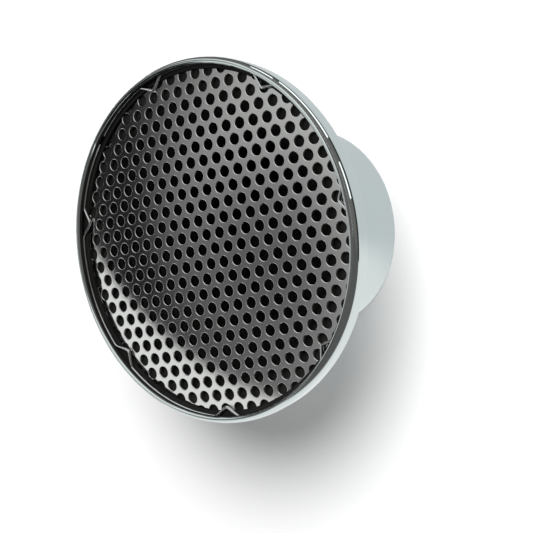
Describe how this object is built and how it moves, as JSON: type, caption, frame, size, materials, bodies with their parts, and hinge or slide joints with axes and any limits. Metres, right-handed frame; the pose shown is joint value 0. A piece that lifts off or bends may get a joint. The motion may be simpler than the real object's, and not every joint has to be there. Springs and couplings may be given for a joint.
{
  "type": "velocity stack air cleaner",
  "caption": "Short trumpet-shaped intake horn with a plain neck, its mouth covered by a domed perforated screen that a kinked wire ring holds under the rolled lip.",
  "frame": {"origin": "centre of the neck's end, which the part stands on", "axes": "+Z along the axis of the horn, from the neck to the mouth; +X along the screen's rows of holes"},
  "size_m": [0.1032, 0.1032, 0.0508],
  "materials": {
    "horn": "bright chrome plate over polished cast aluminium",
    "screen": "bright chrome plate on perforated steel sheet",
    "retaining_ring": "bright plated spring wire"
  },
  "bodies": {
    "root": {"horn": "horn", "screen": "screen", "retaining_ring": "retaining_ring"}
  },
  "joints": []
}
